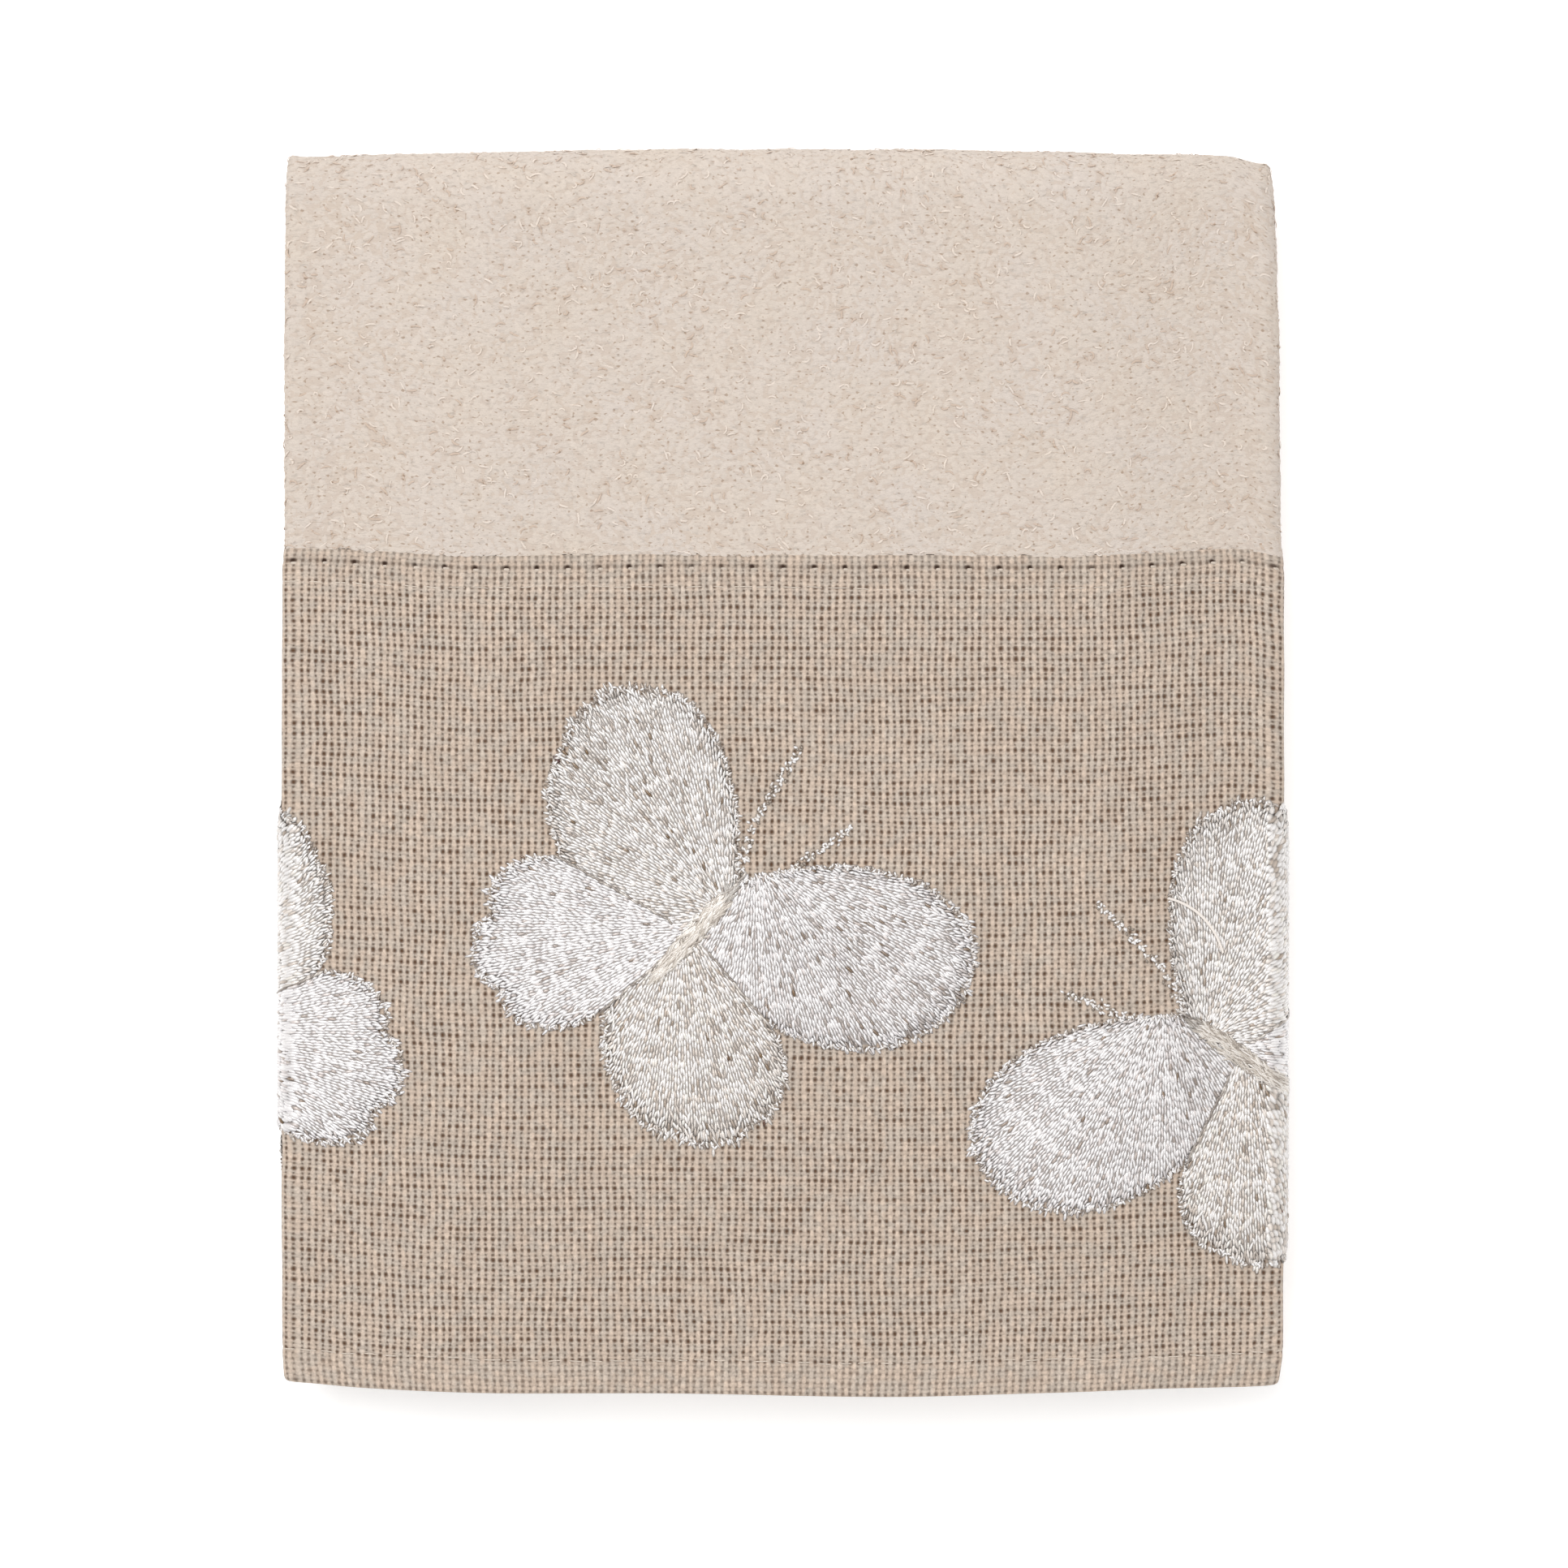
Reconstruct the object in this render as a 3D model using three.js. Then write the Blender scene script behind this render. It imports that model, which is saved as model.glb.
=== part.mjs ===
// A cotton washcloth folded for the shelf: one square of terry, a linen band sewn over the end that
// shows, and three butterflies embroidered on the band.
// Units are millimetres. The cloth lies on its back, its good side up. X runs across it, Y from its
// hems to its fold, and Z up. The origin is the middle of its footprint on the surface.
//
// Every piece is first laid out flat, in three coordinates: across the cloth, from its middle line;
// along it, from the hem that shows; and out of it, towards its good side, from the middle of its
// thickness. The function fold() then carries each point to its place in the folded cloth.
import * as THREE from "three";

// The cloth opened out
const CLOTH_WIDTH = 330;
const CLOTH_LENGTH = 330;
const BAND_HEIGHT = 109.5;

// The folded cloth seen from above
const FOLDED_WIDTH = 131.4;
const FOLDED_HEIGHT = 163.5;

// Thicknesses: the terry has pile on both faces, and none where the linen covers it
const PILE_THICKNESS = 2.1;
const GROUND_THICKNESS = 0.8;
const HEM_THICKNESS = 1.7;
const LINEN_THICKNESS = 0.7;
const STITCH_THICKNESS = 0.45;
const CLEARANCE = 0.3;

// From one layer to the next: close in the middle, where all six lie on each other, and further
// apart at the side folds, where there are four and the cloth springs open
const STEP_MIDDLE = 2.85;
const STEP_SIDE = 3.6;
const LAYERS_MIDDLE = 6;
const LAYERS_SIDE = 4;
const CREST_HALF = 36;

// How far the ends of the two side flaps are drawn in behind the hem that shows
const FLAP_TUCK = 1.5;
const FLAP_TUCK_RUN = 40;

// How far the side folds stand out past the rest where they turn over the top fold, which makes
// the corners there square
const CORNER_PUSH = 2;

// The stack is uneven: soft swells all over it, and a press along the hems
const SWELL = 0.02;
const SWELL_ACROSS = 23;
const SWELL_ALONG = 31;
const HEM_PRESS = 0.06;
const HEM_PRESS_RUN = 30;

// The outline seen from above. EDGE_ROWS say how much lower the fold and how much higher the hem
// lie at a place across the cloth, SIDE_ROWS how far each side is drawn in at a place along it.
const EDGE_ROWS = [
  { x: -66, top: 0.8, hem: 1.6 },
  { x: -55, top: 0.55, hem: 0.9 },
  { x: -38, top: 0.35, hem: 0.55 },
  { x: -15, top: 0, hem: 0.5 },
  { x: 14, top: 0, hem: 0 },
  { x: 36, top: 0.3, hem: 0.55 },
  { x: 48, top: 0.55, hem: 0.85 },
  { x: 60, top: 0.6, hem: 0.9 },
  { x: 66, top: 2.0, hem: 1.1 },
];
const SIDE_ROWS = [
  { y: -82, left: 0.3, right: 0.7 },
  { y: -76, left: 0, right: 0.1 },
  { y: 26, left: 0, right: 0 },
  { y: 30, left: 0.3, right: 0.35 },
  { y: 59, left: 0.3, right: 0.7 },
  { y: 77, left: 0.5, right: 1.4 },
  { y: 82, left: 0.6, right: 1.7 },
];

// The butterfly's four wings, drawn as plain lobes round the middle of its body, in millimetres and
// degrees from +X. A wing lies between two notches, at the angles from and to, and reaches furthest
// at tip. Its sides fill out more slowly with a higher power, and its rim has shallow scallops.
const WINGS = [
  { from: 50, tip: 105, to: 150, notch: 10, reach: 34, rise: 2, fall: 1, scallops: 4, depth: 1 },
  { from: 150, tip: 185, to: 220, notch: 20, reach: 29, rise: 0.5, fall: 0.5, scallops: 3, depth: 2 },
  { from: 220, tip: 275, to: 310, notch: 15, reach: 28, rise: 1, fall: 0.5, scallops: 4, depth: 1 },
  { from: 310, tip: 355, to: 410, notch: 15, reach: 37, rise: 1, fall: 2, scallops: 1, depth: 0 },
];
const WING_STEPS = 12;
const BODY_STEPS = 16;
const BODY_ANGLE = 49;
const BODY_LENGTH = 15.8;
const BODY_WIDTH = 2.4;
const BODY_RISE = 0.25;
const BODY_SLOPE = 0.7;
const RIM_SLOPE = 0.9;
const RIM_THICKNESS = 0.2;

// Where the butterflies are on the cloth, each by the middle of its body. The outer two lie over
// the side folds and are mirror images of the middle one.
const BUTTERFLIES = [
  { name: "butterfly_left", across: -78, along: 44.2, mirrored: true, tilt: -1 },
  { name: "butterfly_centre", across: -11.6, along: 60, mirrored: false, tilt: 0 },
  { name: "butterfly_right", across: 59.6, along: 43.4, mirrored: true, tilt: 13 },
];

// Where the faces of the cloth get a line of corners: across the panel that shows, on round the
// side folds and back over the flaps, and along the cloth
const PANEL_PLACES = [0, 18, 36, 43, 50, 57];
const FLAP_PLACES = [57, 50, 43, 36, 1];
const SIDE_FOLD_STEPS = 6;
const BAND_PLACES = [8, 30, 55, 80, 100];
const PILE_PLACES = [125, 140];
const BACK_PLACES = [195, 220, 245, 270, 295];
const TOP_FOLD_STEPS = 8;
const HEM_WIDTH = 11;
const SLOPE_RUN = 0.3;
const SNAP = 0.05;

// Values worked out from the sizes
const FACE = PILE_THICKNESS / 2;
const GROUND_FACE = -FACE + GROUND_THICKNESS;
const LINEN_BACK = GROUND_FACE + CLEARANCE;
const LINEN_FACE = LINEN_BACK + LINEN_THICKNESS;
const STITCH_BACK = LINEN_FACE + CLEARANCE;
const STITCH_FACE = STITCH_BACK + STITCH_THICKNESS;
const HEM_FACE = HEM_THICKNESS / 2;
const SIDE_RADIUS = STEP_SIDE / 2;
const SIDE_RUN = Math.PI * SIDE_RADIUS;
const PANEL_HALF = FOLDED_WIDTH / 2 - SIDE_RADIUS - LINEN_FACE;
const STACK_MIDDLE = (LAYERS_MIDDLE - 1) * STEP_MIDDLE;
const STACK_SIDE = (LAYERS_SIDE - 1) * STEP_SIDE;
const SIDE_LEVEL = STACK_SIDE / 2 - SIDE_RADIUS;
const FRONT_RUN = FOLDED_HEIGHT - STACK_MIDDLE / 2 - FACE;
const TOP_RUN = (Math.PI * STACK_MIDDLE) / 2;
const TERRY_START = LINEN_THICKNESS + CLEARANCE;
const DEGREE = Math.PI / 180;

const clamp = (value) => Math.min(1, Math.max(0, value));
const smooth = (value) => clamp(value) ** 2 * (3 - 2 * clamp(value));
const mix = (a, b, share) => a + (b - a) * share;

// One column of a table at a place between its rows, on a smooth curve through them.
function lookUp(rows, key, place, column) {
  const last = rows.length - 1;
  if (place <= rows[0][key]) return rows[0][column];
  if (place >= rows[last][key]) return rows[last][column];
  const next = rows.findIndex((row) => row[key] > place);
  const here = next - 1;
  const slope = (i) => {
    if (i === 0 || i === last) return 0;
    return (rows[i + 1][column] - rows[i - 1][column]) / (rows[i + 1][key] - rows[i - 1][key]);
  };
  const span = rows[next][key] - rows[here][key];
  const t = (place - rows[here][key]) / span;
  return (
    rows[here][column] * (1 + 2 * t) * (1 - t) ** 2 +
    rows[next][column] * (3 - 2 * t) * t ** 2 +
    slope(here) * span * t * (1 - t) ** 2 -
    slope(next) * span * (1 - t) * t ** 2
  );
}

// The step between layers and the height from the lowest to the highest one, at a place across.
function stackAt(x) {
  const side = smooth((Math.abs(x) - CREST_HALF) / (PANEL_HALF - CREST_HALF));
  return { step: mix(STEP_MIDDLE, STEP_SIDE, side), height: mix(STACK_MIDDLE, STACK_SIDE, side) };
}

// The cloth's cross-section, folded at its two sides: the place across and the level above the
// middle of the stack, in the half of the cloth that shows, and how far into a side fold that is.
// The left flap lies against the panel, and the right flap lies over the left one.
function crossSection(across, out) {
  const side = Math.sign(across);
  const run = Math.abs(across) - PANEL_HALF;
  if (run <= 0) {
    return { x: across, level: stackAt(across).height / 2 + out, bent: 0 };
  }
  if (run < SIDE_RUN) {
    const turn = (Math.PI * run) / SIDE_RUN;
    const radius = SIDE_RADIUS + out;
    return {
      x: side * (PANEL_HALF + radius * Math.sin(turn)),
      level: SIDE_LEVEL + radius * Math.cos(turn),
      bent: Math.sin(turn) ** 2,
    };
  }
  const x = side * (PANEL_HALF + SIDE_RUN - run);
  const { step, height } = stackAt(x);
  const level = side < 0 ? height / 2 - step : step / 2;
  return { x, level: level - out, bent: 0 };
}

// How much the stack swells or is pressed at a place on it.
function swell(x, y) {
  const waves = SWELL * Math.sin(x / SWELL_ACROSS + 0.6) * Math.sin(y / SWELL_ALONG + 1.1);
  const press = HEM_PRESS * (1 - smooth((y + FOLDED_HEIGHT / 2) / HEM_PRESS_RUN));
  return 1 + waves - press;
}

// The place in the folded cloth of a point of the flat cloth.
function fold(across, along, out) {
  const { x, level, bent } = crossSection(across, out);
  const { height } = stackAt(x);
  const middle = FACE + height / 2;
  const turnY = FOLDED_HEIGHT / 2 - lookUp(EDGE_ROWS, "x", x, "top") - height / 2 - FACE;
  const tuck = FLAP_TUCK * clamp((Math.abs(across) - PANEL_HALF - SIDE_RUN) / FLAP_TUCK_RUN);
  const hemY = -FOLDED_HEIGHT / 2 + lookUp(EDGE_ROWS, "x", x, "hem") + tuck;
  const beyond = along - FRONT_RUN;
  let y = mix(hemY, turnY, along / FRONT_RUN);
  let z = middle + level;
  if (beyond > TOP_RUN) {
    y = turnY - (beyond - TOP_RUN);
    z = middle - level;
  } else if (beyond > 0) {
    const turn = (Math.PI * beyond) / TOP_RUN;
    y = turnY + (level + CORNER_PUSH * bent) * Math.sin(turn);
    z = middle + level * Math.cos(turn);
  }
  const inset = lookUp(SIDE_ROWS, "y", y, x < 0 ? "left" : "right");
  return new THREE.Vector3(x * (1 - inset / (FOLDED_WIDTH / 2)), y, z * swell(x, y));
}

// The flat places across the whole cloth where its faces get a line of corners.
function acrossPlaces() {
  const half = [...PANEL_PLACES];
  for (let i = 0; i <= SIDE_FOLD_STEPS; i++) {
    half.push(PANEL_HALF + (SIDE_RUN * i) / SIDE_FOLD_STEPS);
  }
  for (const x of FLAP_PLACES) {
    half.push(PANEL_HALF + SIDE_RUN + PANEL_HALF - x);
  }
  half.push(CLOTH_WIDTH / 2);
  const mirrored = half.slice(1).reverse().map((place) => -place);
  return [...mirrored, ...half];
}

// The flat triangles of a closed sheet as wide as the cloth. Each row gives a place along the
// cloth and how far out its face and its back lie there.
function sheetTriangles(rows) {
  const places = acrossPlaces();
  const triangles = [];
  const quad = (a, b, c, d) => triangles.push([a, b, c], [a, c, d]);
  for (let j = 0; j + 1 < rows.length; j++) {
    const [low, high] = [rows[j], rows[j + 1]];
    for (let i = 0; i + 1 < places.length; i++) {
      const [left, right] = [places[i], places[i + 1]];
      quad(
        [left, low.along, low.face], [right, low.along, low.face],
        [right, high.along, high.face], [left, high.along, high.face]
      );
      quad(
        [left, low.along, low.back], [left, high.along, high.back],
        [right, high.along, high.back], [right, low.along, low.back]
      );
    }
    for (const [side, edge] of [[-1, places[0]], [1, places[places.length - 1]]]) {
      const corners = [
        [edge, low.along, low.back], [edge, high.along, high.back],
        [edge, high.along, high.face], [edge, low.along, low.face],
      ];
      quad(...(side > 0 ? corners : corners.reverse()));
    }
  }
  for (const [end, row] of [[-1, rows[0]], [1, rows[rows.length - 1]]]) {
    for (let i = 0; i + 1 < places.length; i++) {
      const corners = [
        [places[i], row.along, row.back], [places[i], row.along, row.face],
        [places[i + 1], row.along, row.face], [places[i + 1], row.along, row.back],
      ];
      quad(...(end > 0 ? corners : corners.reverse()));
    }
  }
  return triangles;
}

// The terry: bare ground under the band, pile from there round the top fold to the back, and a
// flat hem at its far end.
function terryRows() {
  const bandTop = BAND_HEIGHT + CLEARANCE;
  const hemTop = CLOTH_LENGTH - HEM_WIDTH;
  const row = (along, face, back = -FACE) => ({ along, face, back });
  const rows = [TERRY_START, ...BAND_PLACES, bandTop].map((along) => row(along, GROUND_FACE));
  for (const along of [bandTop + SLOPE_RUN, ...PILE_PLACES]) {
    rows.push(row(along, FACE));
  }
  for (let i = 0; i <= TOP_FOLD_STEPS; i++) {
    rows.push(row(FRONT_RUN + (TOP_RUN * i) / TOP_FOLD_STEPS, FACE));
  }
  for (const along of [...BACK_PLACES, hemTop]) {
    rows.push(row(along, FACE));
  }
  for (const along of [hemTop + SLOPE_RUN, CLOTH_LENGTH]) {
    rows.push(row(along, HEM_FACE, -HEM_FACE));
  }
  return rows;
}

// The linen band, turned down over the terry's end at the hem.
function linenRows() {
  const rows = [0, LINEN_THICKNESS].map((along) => ({ along, face: LINEN_FACE, back: -FACE }));
  for (const along of [LINEN_THICKNESS + SNAP, ...BAND_PLACES, BAND_HEIGHT]) {
    rows.push({ along, face: LINEN_FACE, back: LINEN_BACK });
  }
  return rows;
}

// How far the butterfly's body reaches from its middle at an angle.
function bodyRadius(angle) {
  const [long, short] = [BODY_LENGTH / 2, BODY_WIDTH / 2];
  const turned = (angle - BODY_ANGLE) * DEGREE;
  return (long * short) / Math.hypot(short * Math.cos(turned), long * Math.sin(turned));
}

// How far its wings reach at an angle.
function wingRadius(angle) {
  const turned = angle < WINGS[0].from ? angle + 360 : angle;
  const here = WINGS.findIndex(({ to }) => turned <= to);
  const { from, tip, to, notch, reach, rise, fall, scallops, depth } = WINGS[here];
  const rising = turned < tip;
  const foot = rising ? notch : WINGS[(here + 1) % WINGS.length].notch;
  const t = rising ? (turned - from) / (tip - from) : (to - turned) / (to - tip);
  const lobe = Math.sin((Math.PI / 2) * t) ** (rising ? rise : fall);
  const share = (turned - from) / (to - from);
  const dent = (1 - Math.abs(Math.sin(Math.PI * scallops * share))) ** 1.5;
  return mix(foot, reach, lobe) - depth * dent * lobe;
}

// The flat triangles of one embroidered butterfly: a low closed relief with a level top, highest
// along the body and thin at the rim. Each loop of its outline has its own height.
function butterflyTriangles({ across, along, mirrored, tilt }) {
  const wingAngles = WINGS.flatMap(({ from, to }) =>
    Array.from({ length: WING_STEPS }, (_, i) => mix(from, to, i / WING_STEPS))
  );
  const bodyAngles = Array.from({ length: BODY_STEPS }, (_, i) => (360 * i) / BODY_STEPS);
  const loop = (angles, radiusAt, out) => angles.map((angle) => {
    const radius = radiusAt(angle);
    const turned = ((mirrored ? 180 - angle : angle) + tilt) * DEGREE;
    return [across + radius * Math.cos(turned), along + radius * Math.sin(turned), out];
  });
  const rimBack = loop(wingAngles, wingRadius, STITCH_BACK);
  const rimFace = loop(wingAngles, wingRadius, STITCH_BACK + RIM_THICKNESS);
  const wingTop = loop(wingAngles, (angle) => wingRadius(angle) - RIM_SLOPE, STITCH_FACE);
  const bodyFoot = loop(bodyAngles, (angle) => bodyRadius(angle) + BODY_SLOPE, STITCH_FACE);
  const bodyTop = loop(bodyAngles, bodyRadius, STITCH_FACE + BODY_RISE);
  const triangles = [
    ...facing(levelTriangles(rimBack), -1),
    ...wall(rimBack, rimFace),
    ...wall(rimFace, wingTop),
    ...facing(levelTriangles(wingTop, bodyFoot), 1),
    ...wall(bodyFoot, bodyTop),
    ...facing(levelTriangles(bodyTop), 1),
  ];
  return mirrored ? triangles.map(([a, b, c]) => [a, c, b]) : triangles;

  // A level face turns its good side up or down, before a mirror image is turned over.
  function facing(faces, sign) {
    const wanted = mirrored ? -sign : sign;
    return faces.map(([a, b, c]) => {
      const area = (b[0] - a[0]) * (c[1] - a[1]) - (c[0] - a[0]) * (b[1] - a[1]);
      return Math.sign(area) === wanted ? [a, b, c] : [a, c, b];
    });
  }
}

// The triangles between two loops with the same number of corners.
function wall(lower, upper) {
  return lower.flatMap((corner, i) => {
    const next = (i + 1) % lower.length;
    return [[corner, lower[next], upper[next]], [corner, upper[next], upper[i]]];
  });
}

// The triangles of the level face inside a loop, and outside an opening where one is given.
function levelTriangles(outline, opening = []) {
  const flat = (loop) => loop.map(([across, along]) => new THREE.Vector2(across, along));
  const openings = opening.length ? [flat(opening)] : [];
  const corners = [...outline, ...opening];
  return THREE.ShapeUtils.triangulateShape(flat(outline), openings).map((face) =>
    face.map((index) => corners[index])
  );
}

// A flat triangle cut along the line where one coordinate has the given value. A corner within
// SNAP of the line counts as on it.
function cutTriangle(triangle, axis, value) {
  const side = (point) => {
    const distance = point[axis] - value;
    return Math.abs(distance) < SNAP ? 0 : Math.sign(distance);
  };
  const sides = triangle.map(side);
  if (!(sides.includes(1) && sides.includes(-1))) return [triangle];
  const halves = { 1: [], [-1]: [] };
  triangle.forEach((point, i) => {
    const next = triangle[(i + 1) % 3];
    if (side(point) >= 0) halves[1].push(point);
    if (side(point) <= 0) halves[-1].push(point);
    if (side(point) * side(next) < 0) {
      const [low, high] = point[axis] < next[axis] ? [point, next] : [next, point];
      const share = (value - low[axis]) / (high[axis] - low[axis]);
      const crossing = low.map((number, k) => mix(number, high[k], share));
      halves[1].push(crossing);
      halves[-1].push(crossing);
    }
  });
  return Object.values(halves).flatMap((corners) =>
    corners.slice(2).map((corner, i) => [corners[0], corners[i + 1], corner])
  );
}

// The same surface with corners wherever the band below it has a line of them.
function cutLikeBand(triangles) {
  let pieces = triangles;
  for (const place of acrossPlaces()) {
    pieces = pieces.flatMap((triangle) => cutTriangle(triangle, 0, place));
  }
  for (const place of BAND_PLACES) {
    pieces = pieces.flatMap((triangle) => cutTriangle(triangle, 1, place));
  }
  return pieces;
}

// A named mesh of flat triangles folded into place.
function foldedMesh(name, triangles, material) {
  const points = triangles.flat().map(([across, along, out]) => fold(across, along, out));
  const geometry = new THREE.BufferGeometry().setFromPoints(points);
  geometry.computeVertexNormals();
  const mesh = new THREE.Mesh(geometry, material);
  mesh.name = name;
  return mesh;
}

const terryMaterial = new THREE.MeshStandardMaterial({ color: 0xdbcec2, roughness: 0.95, metalness: 0 });
const linenMaterial = new THREE.MeshStandardMaterial({ color: 0xbba99a, roughness: 0.9, metalness: 0 });
const threadMaterial = new THREE.MeshStandardMaterial({ color: 0xdcd7d5, roughness: 0.45, metalness: 0 });

const washcloth = new THREE.Group();
washcloth.add(foldedMesh("terry_cloth", sheetTriangles(terryRows()), terryMaterial));
washcloth.add(foldedMesh("linen_band", sheetTriangles(linenRows()), linenMaterial));
for (const butterfly of BUTTERFLIES) {
  const triangles = cutLikeBand(butterflyTriangles(butterfly));
  washcloth.add(foldedMesh(butterfly.name, triangles, threadMaterial));
}

export default washcloth;
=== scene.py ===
"""A cotton washcloth folded for the shelf, with a linen band and three embroidered butterflies.

Blender works in metres, and the sizes here are millimetres. Every piece is first laid out flat in
three coordinates: across the cloth from its middle line, along it from the hem that shows, and
out of it towards its good side from the middle of the terry. fold() carries each point to its
place in the folded cloth, in metres.
"""
import math

import bpy
import numpy as np
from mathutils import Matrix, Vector


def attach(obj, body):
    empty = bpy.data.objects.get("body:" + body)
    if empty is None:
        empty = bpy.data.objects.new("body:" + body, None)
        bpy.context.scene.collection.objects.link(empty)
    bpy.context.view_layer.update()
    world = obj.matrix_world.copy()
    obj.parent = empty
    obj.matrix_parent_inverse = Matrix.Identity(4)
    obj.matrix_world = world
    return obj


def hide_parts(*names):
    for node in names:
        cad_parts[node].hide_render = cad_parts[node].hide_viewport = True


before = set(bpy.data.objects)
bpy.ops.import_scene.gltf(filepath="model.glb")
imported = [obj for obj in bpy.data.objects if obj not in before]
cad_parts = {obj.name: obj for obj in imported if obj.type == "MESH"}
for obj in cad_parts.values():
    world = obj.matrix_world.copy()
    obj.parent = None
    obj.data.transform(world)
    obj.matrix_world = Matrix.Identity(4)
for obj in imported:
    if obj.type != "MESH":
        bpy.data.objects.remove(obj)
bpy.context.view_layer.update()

MM = 0.001

# The cloth opened out, and folded as seen from above
CLOTH_WIDTH = 330
CLOTH_LENGTH = 330
BAND_HEIGHT = 109.5
FOLDED_WIDTH = 131.4
FOLDED_HEIGHT = 163.5

# Thicknesses, and the room between pieces
PILE_THICKNESS = 2.1
GROUND_THICKNESS = 0.8
HEM_THICKNESS = 1.7
LINEN_THICKNESS = 0.7
STITCH_THICKNESS = 0.45
CLEARANCE = 0.3

# The stack of layers, its swells and its press along the hems
STEP_MIDDLE = 2.85
STEP_SIDE = 3.6
LAYERS_MIDDLE = 6
LAYERS_SIDE = 4
CREST_HALF = 36
FLAP_TUCK = 1.5
FLAP_TUCK_RUN = 40
SWELL = 0.02
SWELL_ACROSS = 23
SWELL_ALONG = 31
SWELL_PHASES = (0.6, 1.1)
HEM_PRESS = 0.06
HEM_PRESS_RUN = 30
HEM_WIDTH = 11
CORNER_PUSH = 2

# The outline seen from above: how far the fold is lowered and the hem raised at places across,
# and how far each side is drawn in at places up from the middle
TOP_LOWERED = ((-66, 0.8), (-55, 0.55), (-38, 0.35), (-15, 0), (14, 0), (36, 0.3), (48, 0.55),
               (60, 0.6), (66, 2.0))
HEM_RAISED = ((-66, 1.6), (-55, 0.9), (-38, 0.55), (-15, 0.5), (14, 0), (36, 0.55), (48, 0.85),
              (60, 0.9), (66, 1.1))
LEFT_DRAWN_IN = ((-82, 0.3), (-76, 0), (26, 0), (30, 0.3), (59, 0.3), (77, 0.5), (82, 0.6))
RIGHT_DRAWN_IN = ((-82, 0.7), (-76, 0.1), (26, 0), (30, 0.35), (59, 0.7), (77, 1.4), (82, 1.7))

# Values worked out from the sizes
FACE = PILE_THICKNESS / 2
GROUND_FACE = -FACE + GROUND_THICKNESS
LINEN_BACK = GROUND_FACE + CLEARANCE
LINEN_FACE = LINEN_BACK + LINEN_THICKNESS
STITCH_FACE = LINEN_FACE + CLEARANCE + STITCH_THICKNESS
HEM_FACE = HEM_THICKNESS / 2
SIDE_RADIUS = STEP_SIDE / 2
SIDE_RUN = math.pi * SIDE_RADIUS
PANEL_HALF = FOLDED_WIDTH / 2 - SIDE_RADIUS - LINEN_FACE
FLAP_RUN = CLOTH_WIDTH / 2 - PANEL_HALF - SIDE_RUN
STACK_MIDDLE = (LAYERS_MIDDLE - 1) * STEP_MIDDLE
STACK_SIDE = (LAYERS_SIDE - 1) * STEP_SIDE
SIDE_LEVEL = STACK_SIDE / 2 - SIDE_RADIUS
FRONT_RUN = FOLDED_HEIGHT - STACK_MIDDLE / 2 - FACE
TOP_RUN = math.pi * STACK_MIDDLE / 2
TERRY_START = LINEN_THICKNESS + CLEARANCE
GROUND_END = BAND_HEIGHT + 0.08
PILE_START = BAND_HEIGHT + 0.1
HEM_TOP = CLOTH_LENGTH - HEM_WIDTH

# The sewing: where its lines run along the cloth
SEAM_LINE = BAND_HEIGHT - 1.6
SECOND_LINE = BAND_HEIGHT - 4.3
HEM_LINE = 4.3
FAR_HEM_LINE = HEM_TOP + 1.5
SEAM_PITCH = 4

# The folded cloth's places


def smooth(value):
    value = np.clip(value, 0, 1)
    return value * value * (3 - 2 * value)


def mix(low, high, share):
    return low + (high - low) * share


def stacked(*values):
    return np.stack(values, axis=-1)


def curve_through(rows, place):
    """The height at a place of a smooth curve through rows of (place, height)."""
    at, height = np.array(rows, float).T
    slope = np.zeros(len(at))
    slope[1:-1] = (height[2:] - height[:-2]) / (at[2:] - at[:-2])
    place = np.clip(place, at[0], at[-1])
    here = np.clip(np.searchsorted(at, place, side="right") - 1, 0, len(at) - 2)
    span = at[here + 1] - at[here]
    t = (place - at[here]) / span
    return (
        height[here] * (1 + 2 * t) * (1 - t) ** 2
        + height[here + 1] * (3 - 2 * t) * t**2
        + slope[here] * span * t * (1 - t) ** 2
        - slope[here + 1] * span * (1 - t) * t**2
    )


def stack_at(x):
    """The step between layers and the height from the lowest to the highest one."""
    side = smooth((np.abs(x) - CREST_HALF) / (PANEL_HALF - CREST_HALF))
    return mix(STEP_MIDDLE, STEP_SIDE, side), mix(STACK_MIDDLE, STACK_SIDE, side)


def cross_section(across, out):
    """The place across, the level over the middle of the stack, and how far into a side fold."""
    side = np.sign(across)
    run = np.abs(across) - PANEL_HALF
    turn = np.pi * np.clip(run / SIDE_RUN, 0, 1)
    radius = SIDE_RADIUS + out
    flap_x = side * (PANEL_HALF + SIDE_RUN - run)
    flap_step, flap_height = stack_at(flap_x)
    flap_level = np.where(side < 0, flap_height / 2 - flap_step, flap_step / 2) - out
    on_panel, on_turn = run <= 0, run < SIDE_RUN
    x = np.where(on_turn, side * (PANEL_HALF + radius * np.sin(turn)), flap_x)
    level = np.where(on_turn, SIDE_LEVEL + radius * np.cos(turn), flap_level)
    x = np.where(on_panel, across, x)
    level = np.where(on_panel, stack_at(across)[1] / 2 + out, level)
    return x, level, np.sin(turn) ** 2


def swell(x, y):
    """How much the stack swells or is pressed at a place on it."""
    phase_x, phase_y = SWELL_PHASES
    waves = SWELL * np.sin(x / SWELL_ACROSS + phase_x) * np.sin(y / SWELL_ALONG + phase_y)
    return 1 + waves - HEM_PRESS * (1 - smooth((y + FOLDED_HEIGHT / 2) / HEM_PRESS_RUN))


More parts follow.
